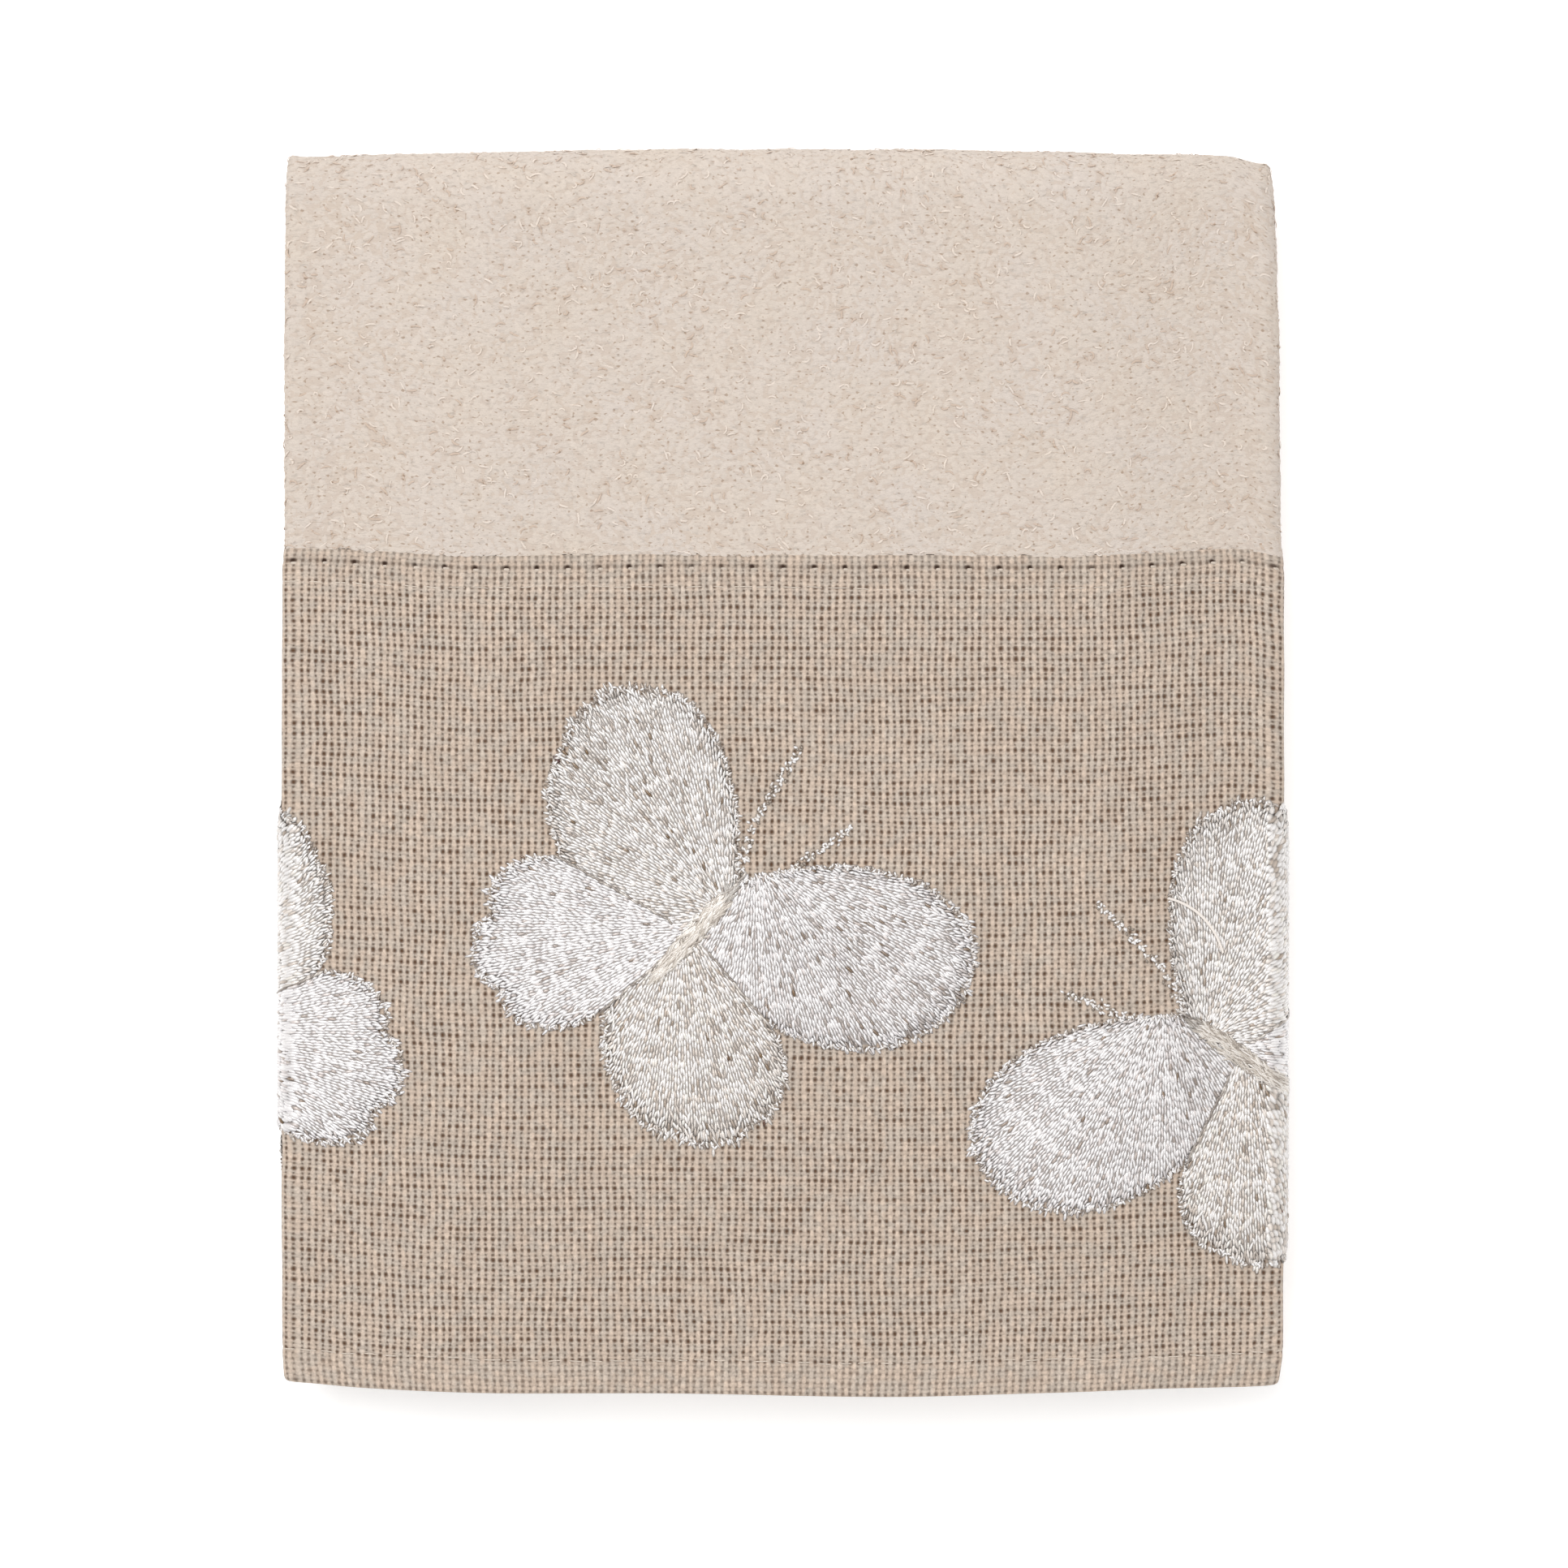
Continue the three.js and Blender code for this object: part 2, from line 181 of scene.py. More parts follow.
def fold(points):
    """The folded places, in metres, of points of the flat cloth, in millimetres."""
    across, along, out = np.moveaxis(points, -1, 0)
    x, level, bent = cross_section(across, out)
    height = stack_at(x)[1]
    middle = FACE + height / 2
    turn_y = FOLDED_HEIGHT / 2 - curve_through(TOP_LOWERED, x) - height / 2 - FACE
    tuck = FLAP_TUCK * np.clip((np.abs(across) - PANEL_HALF - SIDE_RUN) / FLAP_TUCK_RUN, 0, 1)
    hem_y = -FOLDED_HEIGHT / 2 + curve_through(HEM_RAISED, x) + tuck
    beyond = along - FRONT_RUN
    turn = np.pi * np.clip(beyond / TOP_RUN, 0, 1)
    past = np.maximum(beyond - TOP_RUN, 0)
    over_fold = turn_y + (level + CORNER_PUSH * bent) * np.sin(turn) - past
    y = np.where(beyond <= 0, mix(hem_y, turn_y, along / FRONT_RUN), over_fold)
    z = middle + level * np.cos(turn)
    inset = np.where(x < 0, curve_through(LEFT_DRAWN_IN, y), curve_through(RIGHT_DRAWN_IN, y))
    place = stacked(x * (1 - inset / (FOLDED_WIDTH / 2)), y, z * swell(x, y))
    return place * MM


# Uneven fields

NOISE_WAVES = 14
NOISE_PEAK = 1.2


def soft_noise(across, along, size, seed):
    """An uneven smooth field from about -1 to 1 whose swells are about this wide."""
    draws = np.random.default_rng(seed)
    total = np.zeros(np.shape(across))
    for _ in range(NOISE_WAVES):
        heading, phase = draws.uniform(0, 2 * np.pi, 2)
        number = draws.uniform(0.6, 1.5) * np.pi / size
        total += np.sin(number * (across * np.cos(heading) + along * np.sin(heading)) + phase)
    return total / math.sqrt(NOISE_WAVES) / NOISE_PEAK


def scattered(draws, low, high, pitch):
    """Places spread evenly but not regularly over a flat rectangle."""
    columns = max(1, round((high[0] - low[0]) / pitch))
    rows = max(1, round((high[1] - low[1]) / pitch))
    across, along = np.meshgrid(np.arange(columns) + 0.5, np.arange(rows) + 0.5)
    cells = stacked(across.ravel(), along.ravel())
    cells += draws.uniform(-0.5, 0.5, cells.shape)
    return low + cells * np.subtract(high, low) / (columns, rows)


# Meshes


def add_object(name, data):
    item = bpy.data.objects.new(name, data)
    bpy.context.collection.objects.link(item)
    return item


def set_vectors(mesh, name, vectors):
    """Gives each point of a mesh a vector that its material reads."""
    attribute = mesh.attributes.new(name, "FLOAT_VECTOR", "POINT")
    attribute.data.foreach_set("vector", np.float32(vectors).ravel())


def add_mesh(name, material, points, faces, tone):
    """A smooth mesh of flat points, folded. It keeps their flat places and tones."""
    mesh = bpy.data.meshes.new(name)
    mesh.from_pydata(fold(points), [], faces)
    mesh.shade_smooth()
    set_vectors(mesh, "flat", points)
    set_vectors(mesh, "tone", np.broadcast_to(tone, points.shape))
    mesh.materials.append(material)
    return add_object(name, mesh)


def grid_faces(index):
    """The quads between the corners of a grid, given by their numbers in rows."""
    quads = stacked(index[:-1, :-1], index[:-1, 1:], index[1:, 1:], index[1:, :-1])
    return quads.reshape(-1, 4)


def closed_sheet(across, along, back, face):
    """The points and faces of a closed sheet over places across and along the cloth."""
    wide, long = np.meshgrid(across, along)
    sides = [
        stacked(wide, long, np.broadcast_to(out, wide.shape)).reshape(-1, 3)
        for out in (face, back)
    ]
    index = np.arange(wide.size).reshape(wide.shape)
    rim = np.concatenate([index[0, :-1], index[:-1, -1], index[-1, :0:-1], index[:0:-1, 0]])
    next_rim = np.roll(rim, -1)
    under = wide.size
    walls = stacked(rim + under, next_rim + under, next_rim, rim)
    faces = np.concatenate([grid_faces(index), grid_faces(index)[:, ::-1] + under, walls])
    return np.concatenate(sides), faces


END_TAPER = 0.4


def threads(middle, heading, length, bend, half_width, crown, base, lift, tone, edge=1, crest=1,
            end=1, steps=4):
    """Short bent threads: ridges of their own tones, whose ends dip into the cloth.

    Edge, crest and end are the painted light along their edges, along their crests and at their
    ends.
    """
    half_width, crown, base, lift = (
        np.broadcast_to(size, len(middle))[:, None] for size in (half_width, crown, base, lift)
    )
    share = np.linspace(-1, 1, steps + 1)
    angle = heading[:, None] + bend[:, None] * share / 2
    ahead = stacked(np.cos(angle), np.sin(angle))
    pace = (ahead[:, 1:] + ahead[:, :-1]) / 2 * (length / steps)[:, None, None]
    path = np.concatenate([np.zeros_like(pace[:, :1]), np.cumsum(pace, axis=1)], axis=1)
    path += middle[:, None] - path.mean(axis=1, keepdims=True)
    rise = base + lift * (1 - share**2)
    taper = 1 - END_TAPER * share**4
    aside = stacked(-ahead[..., 1], ahead[..., 0]) * (half_width * taper)[..., None]
    left = np.concatenate([path + aside, rise[..., None]], axis=-1)
    right = np.concatenate([path - aside, rise[..., None]], axis=-1)
    top = np.concatenate([path, (rise + crown * taper)[..., None]], axis=-1)
    points, faces = ridges(np.stack([left, top, right], axis=2))
    # Painted shade along the edges and at the ends, and a painted highlight along the crests
    light = (1 - (1 - end) * share**4)[:, None] * np.array([edge, crest, edge])
    return points, faces, (tone[:, None, None, :] * light[None, :, :, None]).reshape(-1, 3)


def ridges(points):
    """Joins rows of (left, top, right) points into ridges."""
    index = np.arange(points[..., 0].size).reshape(points.shape[:3])
    near, far = index[:, :-1], index[:, 1:]
    strips = [
        stacked(near[..., right], far[..., right], far[..., left], near[..., left])
        for left, right in ((0, 1), (1, 2))
    ]
    return points.reshape(-1, 3), np.concatenate(strips).reshape(-1, 4)


def joined(parts):
    """One set of points, faces and tones from several."""
    points, faces, tones = zip(*parts)
    starts = np.cumsum([0, *map(len, points[:-1])])
    faces = [part + start for part, start in zip(faces, starts)]
    return np.concatenate(points), np.concatenate(faces), np.concatenate(tones)


# Materials


def math_method(operation):
    """A method that works a value out from one or two others."""
    return lambda self, *others: self.graph.math(operation, self, *others)


class Value:
    """A number or colour that varies over a surface. Its arithmetic adds nodes to its graph."""

    def __init__(self, graph, socket):
        self.graph, self.socket = graph, socket

    __add__ = __radd__ = math_method("ADD")
    __mul__ = __rmul__ = math_method("MULTIPLY")
    __sub__ = math_method("SUBTRACT")
    __truediv__ = math_method("DIVIDE")
    __abs__ = math_method("ABSOLUTE")
    floor = math_method("FLOOR")
    sqrt = math_method("SQRT")
    cos = math_method("COSINE")
    at_least = math_method("MAXIMUM")

    def __rsub__(self, other):
        return self.graph.math("SUBTRACT", other, self)

    def squared(self):
        return self * self

    def odd(self):
        """1 for odd whole numbers and 0 for even ones."""
        return self.graph.math("FLOORED_MODULO", self, 2)

    def ramp(self, low, high, to_low=0, to_high=1):
        """Goes softly from one value to another as the number goes from low to high."""
        return self.graph.output(
            "MapRange", self, low, high, to_low, to_high, interpolation_type="SMOOTHSTEP"
        )

    def spread(self, to_low, to_high):
        """Spreads a noise, mostly from 0.3 to 0.7, softly from one value to another."""
        return self.ramp(0.3, 0.7, to_low, to_high)


class Graph:
    """A material made of nodes, driven by its surface's flat places in millimetres."""

    def __init__(self, name, **sockets):
        self.material = bpy.data.materials.new(name)
        self.material.use_nodes = True
        self.tree = self.material.node_tree
        self.surface = self.tree.nodes["Principled BSDF"]
        self.fill(self.surface, **sockets)

    def put(self, socket, value):
        if isinstance(value, Value):
            self.tree.links.new(value.socket, socket)
        else:
            socket.default_value = value

    def node(self, kind, *values, **settings):
        """A new node with these values in its first inputs."""
        node = self.tree.nodes.new("ShaderNode" + kind)
        for setting, value in settings.items():
            setattr(node, setting, value)
        for socket, value in zip(node.inputs, values):
            self.put(socket, value)
        return node

    def fill(self, node, **sockets):
        """Gives the node's sockets these values, by their names."""
        for name, value in sockets.items():
            self.put(node.inputs[name.replace("_", " ")], value)
        return node

    def output(self, kind, *values, **settings):
        return Value(self, self.node(kind, *values, **settings).outputs[0])

    def math(self, operation, *values):
        return self.output("Math", *values, operation=operation)

    def vector(self, *values):
        return self.output("CombineXYZ", *values)

    def times(self, colour, factor):
        """A colour or a varying number, multiplied by another."""
        return self.output("VectorMath", colour, factor, operation="MULTIPLY")

    def attribute(self, name):
        return Value(self, self.node("Attribute", attribute_name=name).outputs["Vector"])

    def flat(self):
        """The place across and along the flat cloth."""
        split = self.node("SeparateXYZ", self.attribute("flat"))
        return Value(self, split.outputs[0]), Value(self, split.outputs[1])

    def noise(self, across, along, detail, seed):
        """A soft random pattern, from 0 to 1 and mostly near 0.5, with swells about 1 wide."""
        node = self.node("TexNoise", self.vector(across, along, seed))
        return Value(self, self.fill(node, Scale=1, Detail=detail).outputs[0])

    def chance(self, across, along, seed):
        """An even random number from 0 to 1 for each pair of numbers."""
        return self.output("TexWhiteNoise", self.vector(across, along, seed))

    def blend(self, share, low, high):
        """A colour between two others."""
        node = self.fill(self.node("Mix", data_type="RGBA"), Factor=share)
        for name, colour in (("A", low), ("B", high)):
            socket = next(s for s in node.inputs if s.name == name and s.type == "RGBA")
            self.put(socket, colour if isinstance(colour, Value) else (*colour, 1))
        return Value(self, next(s for s in node.outputs if s.type == "RGBA"))

    def finish(self, colour, height):
        """Sets the surface's colour, times each point's own tone and painted light, and its relief
        in millimetres.
        """
        bump = self.fill(self.node("Bump"), Strength=1, Distance=MM, Height=height)
        toned = self.times(colour, self.attribute("tone"))
        self.fill(self.surface, Base_Color=toned, Normal=Value(self, bump.outputs[0]))
        return self.material


TERRY_COLOUR = (0.677, 0.596, 0.528)
WARM_PATCH_TINT = (1, 0.99, 0.975)
COOL_PATCH_TINT = (1, 0.998, 1)
SPECK_SHADE_TINT = (0.62, 0.53, 0.46)


def terry_material():
    """Matted cotton: fine fibres, faint warmer patches, and painted shade in creases and
    reddish-brown specks.
    """
    graph = Graph("terry_cotton", Roughness=1, Specular_IOR_Level=0.1)
    across, along = graph.flat()
    fibres = graph.noise(across * 2.2, along * 6, detail=4, seed=3)
    creases = graph.noise(across * 0.9, along * 2.1, detail=3, seed=8)
    patches = graph.noise(across / 7, along / 7, detail=2, seed=5).ramp(0.35, 0.65)
    shade_specks = graph.noise(across * 1.7, along * 2.6, detail=0, seed=13).ramp(0.69, 0.78, 0, 0.8)
    # Painted shade darkens the creases, and the reddish-brown specks are spots of painted shade
    light = fibres.spread(0.965, 1.03) * creases.ramp(0.3, 0.44, 0.85, 1)
    tint = graph.blend(patches, WARM_PATCH_TINT, COOL_PATCH_TINT)
    colour = graph.times(graph.times(tint, TERRY_COLOUR), light)
    colour = graph.blend(shade_specks, colour, graph.times(colour, SPECK_SHADE_TINT))
    return graph.finish(colour, fibres * 0.12 + creases * 0.15)


LINEN_COLOUR = (0.54, 0.433, 0.35)
COOL_LINEN_COLOUR = (0.51, 0.43, 0.36)
# The weave's holes are painted dark with shadow
HOLE_SHADOW_COLOUR = (0.105, 0.052, 0.026)
# The seam's needle-hole pits are painted dark with shadow
PIT_SHADOW_COLOUR = (0.05, 0.025, 0.015)

# The weave: the distance from thread to thread, and how far the threads wander over long swells
# and from each one to the next, all across and along the cloth
WARP_PITCH = 0.93
WEFT_PITCH = 0.664
LONG_WANDER = (0.8, 0.9)
SHORT_WANDER = (0.36, 0.22)

# As shares of those distances: half a hole's size, half a thread's width, how high it stands, and
# how much higher or lower where it passes over or under the others
HOLE_HALF = (0.25, 0.43)
WARP_THREAD = dict(half_width=0.46, height=0.75, wave=0.2)
WEFT_THREAD = dict(half_width=0.56, height=0.48, wave=-0.24)

# Linen turned under at the hem and the top shows through the holes there: two places along the
# cloth, and the share of a hole that is open up to the first and from the second
HOLE_CHANGES = (
    (HEM_LINE - 0.5, HEM_LINE + 0.3, 0.5, 1),
    (SECOND_LINE - 0.6, SECOND_LINE + 0.4, 1, 0.78),
    (SEAM_LINE - 0.6, SEAM_LINE + 0.3, 1, 0.7),
    (BAND_HEIGHT - 0.9, BAND_HEIGHT - 0.2, 1, 0.4),
)

# The pits at the seam's needle holes, dark with painted shadow, in millimetres
PIT_HALF = (0.42, 0.34)


def wandering(graph, across, along):
    """The places across and along the cloth as the wandering threads count them."""
    long_across, long_along = LONG_WANDER
    short_across, short_along = SHORT_WANDER
    across = across + (graph.noise(across / 16, along / 11, detail=1, seed=1) - 0.5) * long_across
    along = along + (graph.noise(across / 22, along / 9, detail=1, seed=2) - 0.5) * long_along
    across = across + (graph.noise(across * 1.1, along / 2, detail=2, seed=3) - 0.5) * short_across
    along = along + (graph.noise(across / 3, along * 1.5, detail=1, seed=4) - 0.5) * short_along
    return across, along


def oval_distance(a, b, half):
    """The distance from an oval's middle, as a share of the distance to its rim."""
    return ((a / half[0]).squared() + (b / half[1]).squared()).sqrt()


def weave_holes(graph, a, b, column, row, along):
    """1 in the holes between the threads and 0 on them, smaller in every second row."""
    openness = graph.noise(column * 0.13, row * 0.1, detail=2, seed=6).spread(0.87, 1.1)
    size = (1 - row.odd() * 0.45) * (0.72 + 0.6 * graph.chance(column, row, seed=7)) * openness
    distance = oval_distance(a, b, HOLE_HALF) / size
    hole = distance.ramp(0.1, 1.45, 1, 0) * size.ramp(0.3, 1.3, 0.55, 1)
    for low, high, share_below, share_above in HOLE_CHANGES:
        hole = hole * along.ramp(low, high, share_below, share_above)
    return hole


def thread_top(beside, run, number, half_width, height, wave):
    """The top of a round thread that passes over and under the others by turns."""
    round_top = (1 - (beside / half_width).squared()).at_least(0)
    over_and_under = (run * math.pi).cos() * (1 - 2 * number.odd())
    return round_top * height + over_and_under * wave


def seam_pits(graph, across, to_seam):
    """1 in the pits at the seam's needle holes and 0 away from them, some fainter than others."""
    share = across / SEAM_PITCH
    number = (share + 0.5).floor()
    to_pit = abs(share - number) * SEAM_PITCH
    pit = oval_distance(to_pit, to_seam, PIT_HALF).ramp(0.35, 1.4, 1, 0)
    return pit * graph.chance(number, 0, seed=15).ramp(0, 0.6, 0.55, 1)


def linen_material():
    """An open plain weave of uneven threads, with its holes, its slubs and the pits of its seam."""
    graph = Graph("linen_weave", Roughness=0.85, Specular_IOR_Level=0.25)
    flat_across, flat_along = graph.flat()
    across, along = wandering(graph, flat_across, flat_along)
    u, v = across / WARP_PITCH, along / WEFT_PITCH
    column, row = u.floor(), v.floor()
    warp, weft = (u + 0.5).floor(), (v + 0.5).floor()
    a, b = u - column - 0.5, v - row - 0.5
    hole = weave_holes(graph, a, b, column, row, flat_along)
    warp_top = thread_top(0.5 - abs(a), v, warp, **WARP_THREAD)
    weft_top = thread_top(0.5 - abs(b), u, weft, **WEFT_THREAD)
    relief = warp_top.at_least(weft_top)

    # Each thread has its own shade and slubs along it, and some patches are cooler than others
    warp_shade = graph.noise(warp * 7.3, along / 9, detail=2, seed=9)
    weft_shade = graph.noise(weft * 5.9, across / 12, detail=2, seed=10)
    shade = weft_shade + (warp_shade - weft_shade) * (warp_top - weft_top).ramp(-0.15, 0.15)
    speck = graph.chance(warp, weft, seed=11)
    fibres = graph.noise(across * 3.6, along * 3.6, detail=3, seed=14)
    # Painted shade where the threads lie low, and a painted highlight on their tops
    light = shade.spread(0.93, 1.06) * relief.ramp(0.05, 0.95, 0.64, 1.19)
    light = light * speck.ramp(0, 1, 0.95, 1.05) * fibres.spread(0.88, 1.1)
    cool = graph.noise(flat_across / 2.2, flat_along / 2.2, detail=2, seed=12).ramp(0.4, 0.62)
    thread = graph.times(graph.blend(cool, LINEN_COLOUR, COOL_LINEN_COLOUR), light)

    # Painted shade makes the linen a little darker along the seam, and a painted highlight makes it
    # lighter along the second line
    to_seam = abs(flat_along - SEAM_LINE)
    to_second = abs(flat_along - SECOND_LINE)
    groove = to_seam.ramp(0.05, 0.5, 0.88, 1) * to_second.ramp(0.2, 0.6, 1.08, 1)
    colour = graph.blend(hole, graph.times(thread, groove), HOLE_SHADOW_COLOUR)
    colour = graph.blend(seam_pits(graph, flat_across, to_seam), colour, PIT_SHADOW_COLOUR)
    return graph.finish(colour, relief * 0.16 - hole * 0.12 + fibres * 0.04)


THREAD_COLOUR = (1, 0.968, 0.955)


def thread_material():
    """Lustrous embroidery thread."""
    graph = Graph("embroidery_thread", Roughness=0.3, Specular_IOR_Level=1, Metallic=0.2,
                  Coat_Weight=0.6, Coat_Roughness=0.22)
    across, along = graph.flat()
    strands = graph.noise(across * 9, along * 9, detail=2, seed=2).spread(0.93, 1.05)
    return graph.finish(graph.times(strands, THREAD_COLOUR), strands * 0.06)


def cotton_material():
    """Fine matt sewing thread."""
    graph = Graph("sewing_thread", Roughness=0.8, Specular_IOR_Level=0.3)
    across, along = graph.flat()
    plies = graph.noise(across * 6, along * 6, detail=2, seed=4).spread(0.88, 1.08)
    return graph.finish(plies, plies * 0.05)


# The terry

# How many rows or columns its mesh has on the bare ground, the front, the back and round its folds
GROUND_ROWS = 30
FRONT_ROWS = 19
BACK_ROWS = 36
TOP_TURN_ROWS = 16
SIDE_TURN_COLUMNS = 10

# The far hem: how deep into it, and the share of its thickness there, dented along its sewing
HEM_SECTION = (
    (0.4, 0.85), (1.2, 1), (1.5, 0.9), (1.8, 1), (HEM_WIDTH - 1.2, 1), (HEM_WIDTH - 0.5, 0.9),
    (HEM_WIDTH - 0.15, 0.65), (HEM_WIDTH, 0.3),
)

# The pile's bed, under its loops, and the painted shade that darkens it
BED_FACE = 0.72
BED_SWELL = 0.05
BED_SHADE_TONE = (0.93, 0.905, 0.885)


def places_across(step):
    """Places across the whole cloth: closer together round the two side folds."""
    panel = np.linspace(0, PANEL_HALF, round(PANEL_HALF / step) + 1)
    turn = PANEL_HALF + np.linspace(0, SIDE_RUN, SIDE_TURN_COLUMNS + 1)[1:]
    flap_columns = round(FLAP_RUN / (1.5 * step))
    flap = np.linspace(PANEL_HALF + SIDE_RUN, CLOTH_WIDTH / 2, flap_columns + 1)[1:]
    half = np.concatenate([panel, turn, flap])
    return np.concatenate([-half[:0:-1], half])


def bed_swell(across, along):
    """How much higher the bed lies here and there."""
    return BED_SWELL * soft_noise(across, along, size=5, seed=11)


def in_pile(along):
    return (along >= PILE_START) & (along <= HEM_TOP)


def add_terry(material):
    """The cloth itself: bare ground under the band, a bed for the pile, and a flat hem."""
    bed = [PILE_START + step for step in (0, 0.1, 0.3)]
    bed += [*np.linspace(PILE_START + 1, FRONT_RUN, FRONT_ROWS)]
    bed += [FRONT_RUN + TOP_RUN * i / TOP_TURN_ROWS for i in range(1, TOP_TURN_ROWS + 1)]
    bed += [*np.linspace(FRONT_RUN + TOP_RUN, HEM_TOP, BACK_ROWS)[1:]]
    ground = np.linspace(TERRY_START, GROUND_END, GROUND_ROWS)
    rows = [(along, GROUND_FACE, -FACE) for along in ground]
    rows += [(along, BED_FACE, -FACE) for along in bed]
    rows += [(HEM_TOP + depth, HEM_FACE * share, -HEM_FACE * share) for depth, share in HEM_SECTION]
    along, face, back = np.array(rows).T
    across = places_across(step=2.6)
    wide, long = np.meshgrid(across, along)
    face = face[:, None] + np.where(in_pile(long), bed_swell(wide, long), 0)
    points, faces = closed_sheet(across, along, back[:, None], face)
    tone = np.where(in_pile(points[:, 1:2]), BED_SHADE_TONE, 1.0)
    return add_mesh("terry", material, points, faces, tone)


# The pile: flattened loops, and a few thin curls that stand out from them, with a painted highlight
# or painted shade.
# Length is a share of LOOP_LENGTH, and turn and bend say how unevenly they lie, in radians.
LOOP_LENGTH = 1.9
LOOP = dict(width=0.84, length=1, turn=0.75, bend=1, raised=0, light=1)
CURL = dict(width=0.24, length=0.65, turn=0.9, bend=2, raised=0.12, light=1.19)
LOOP_CROWN = (0.12, 0.26)
CURL_CROWN = 0.6
CURL_SHARE = 0.11
SHADED_CURL_SHARE = 0.42
SHADED_CURL_TINT = (0.8, 0.735, 0.685)

# Beside the band, and fading away from it, the pile lies straighter and a little lower
BAND_PRESS = dict(run=0.4, fade=0.7, straighter=0.75, lower=0.02)


def loops(seed, low, high, pitch, scale):
    """Matted pile over a flat rectangle, its loops this far apart and this much larger."""
    draws = np.random.default_rng(seed)
    middle = scattered(draws, low, high, pitch)
    count = len(middle)
    curl = draws.random(count) < CURL_SHARE * (1 + 0.7 * soft_noise(*middle.T, size=5, seed=23))
    in_shade = curl & (draws.random(count) < SHADED_CURL_SHARE)
    kind = {name: np.where(curl, CURL[name], LOOP[name]) for name in LOOP}
    beyond = np.maximum(middle[:, 1] - BAND_HEIGHT - BAND_PRESS["run"], 0)
    pressed = np.exp(-beyond / BAND_PRESS["fade"])
    heading = 0.7 * soft_noise(*middle.T, size=16, seed=21) + draws.normal(0, kind["turn"])
    heading *= 1 - BAND_PRESS["straighter"] * pressed
    length = LOOP_LENGTH * scale * draws.uniform(0.7, 1.3, count) * kind["length"]
    bend = draws.normal(0, kind["bend"])
    half_width = kind["width"] / 2 * scale * draws.uniform(0.8, 1.2, count)
    crown = half_width * np.where(curl, CURL_CROWN, draws.uniform(*LOOP_CROWN, count))
    base = BED_FACE - 0.08 * scale + bed_swell(*middle.T) + kind["raised"]
    base = base - BAND_PRESS["lower"] * pressed
    lift = draws.uniform(0.04, 0.1, count) * scale
    light = draws.normal(1, 0.014, count) * kind["light"]
    warm = 0.005 * soft_noise(*middle.T, size=9, seed=22)
    tone = stacked(light * (1 + warm), light, light * (1 - 2 * warm))
    tone[in_shade] *= SHADED_CURL_TINT
    return threads(middle, heading, length, bend, half_width, crown, base, lift, tone,
                   edge=0.965, crest=1.01, end=0.965)


def add_pile(material):
    """The loops that show: dense on the front and round the edges, and larger underneath."""
    side = PANEL_HALF + 0.95 * SIDE_RUN
    inner = PANEL_HALF - 4
    top = FRONT_RUN + 0.62 * TOP_RUN
    underneath = FRONT_RUN + 1.25 * TOP_RUN
    hem = HEM_TOP - 0.3
    fields = {
        "pile_front": (
            dict(seed=1, low=(-side, BAND_HEIGHT + 0.25), high=(side, top), pitch=0.86, scale=1),
            dict(seed=6, low=(-side, BAND_HEIGHT), high=(side, BAND_HEIGHT + 0.5), pitch=0.5,
                 scale=0.8),
        ),
        "pile_edges": (
            dict(seed=2, low=(-side, top), high=(side, underneath), pitch=0.86, scale=1.05),
            dict(seed=3, low=(-side, underneath), high=(-inner, hem), pitch=0.9, scale=1.1),
            dict(seed=4, low=(inner, underneath), high=(side, hem), pitch=0.9, scale=1.1),
        ),
        "pile_under": (
            dict(seed=5, low=(-inner, underneath), high=(inner, hem), pitch=1.5, scale=1.55),
        ),
    }
    return [
        add_mesh(name, material, *joined([loops(**area) for area in areas]))
        for name, areas in fields.items()
    ]


# The linen band and the sewing

# The level of the band's face at places along its hem and its top edge
BAND_HEM = (
    (0, 0.4), (0.12, 0.57), (0.3, 0.68), (0.5, 0.73), (LINEN_THICKNESS, LINEN_FACE),
    (LINEN_THICKNESS + 0.05, LINEN_FACE),
)
BAND_EDGE = ((BAND_HEIGHT - 0.25, 0.74), (BAND_HEIGHT - 0.08, 0.71), (BAND_HEIGHT, 0.63))

# The grooves that the sewing draws into the linen, and the dents at the seam's needle holes
GROOVES = (
    dict(line=SEAM_LINE, depth=0.1, half_width=0.4),
    dict(line=HEM_LINE, depth=0.08, half_width=0.3),
    dict(line=SECOND_LINE, depth=0.05, half_width=0.3),
)
DENT = dict(depth=0.2, half_width=0.5, half_height=0.25)

# The rows of running stitches: two along the top of the band, one at each hem
SEWING_COLOUR = (0.64, 0.55, 0.465)
SEWING = (
    dict(seed=41, line=SEAM_LINE - 0.3, half_run=17.5 * SEAM_PITCH - 0.2, pitch=SEAM_PITCH,
         length=0.75, half_width=0.17, base=0.6, waver=0),
    dict(seed=42, line=SECOND_LINE, half_run=PANEL_HALF + SIDE_RUN, pitch=3.1,
         length=2.6, half_width=0.08, base=0.66, waver=0.3),
    dict(seed=43, line=HEM_LINE, half_run=PANEL_HALF + SIDE_RUN, pitch=2.7,
         length=2.1, half_width=0.09, base=0.64, waver=0.25),
    dict(seed=44, line=FAR_HEM_LINE, half_run=CLOTH_WIDTH / 2, pitch=3,
         length=2.3, half_width=0.16, base=0.74, waver=0.1),
)


def sewn_grooves(wide, long):
    """How deep the sewing draws the linen down at a place."""
    depth = np.zeros(wide.shape)
    for groove in GROOVES:
        depth += groove["depth"] * np.exp(-(((long - groove["line"]) / groove["half_width"]) ** 2))
    to_dent = np.abs(wide / SEAM_PITCH - np.round(wide / SEAM_PITCH)) * SEAM_PITCH
    above = ((long - SEAM_LINE) / DENT["half_height"]) ** 2
    depth += DENT["depth"] * np.exp(-above - (to_dent / DENT["half_width"]) ** 2)
    return depth


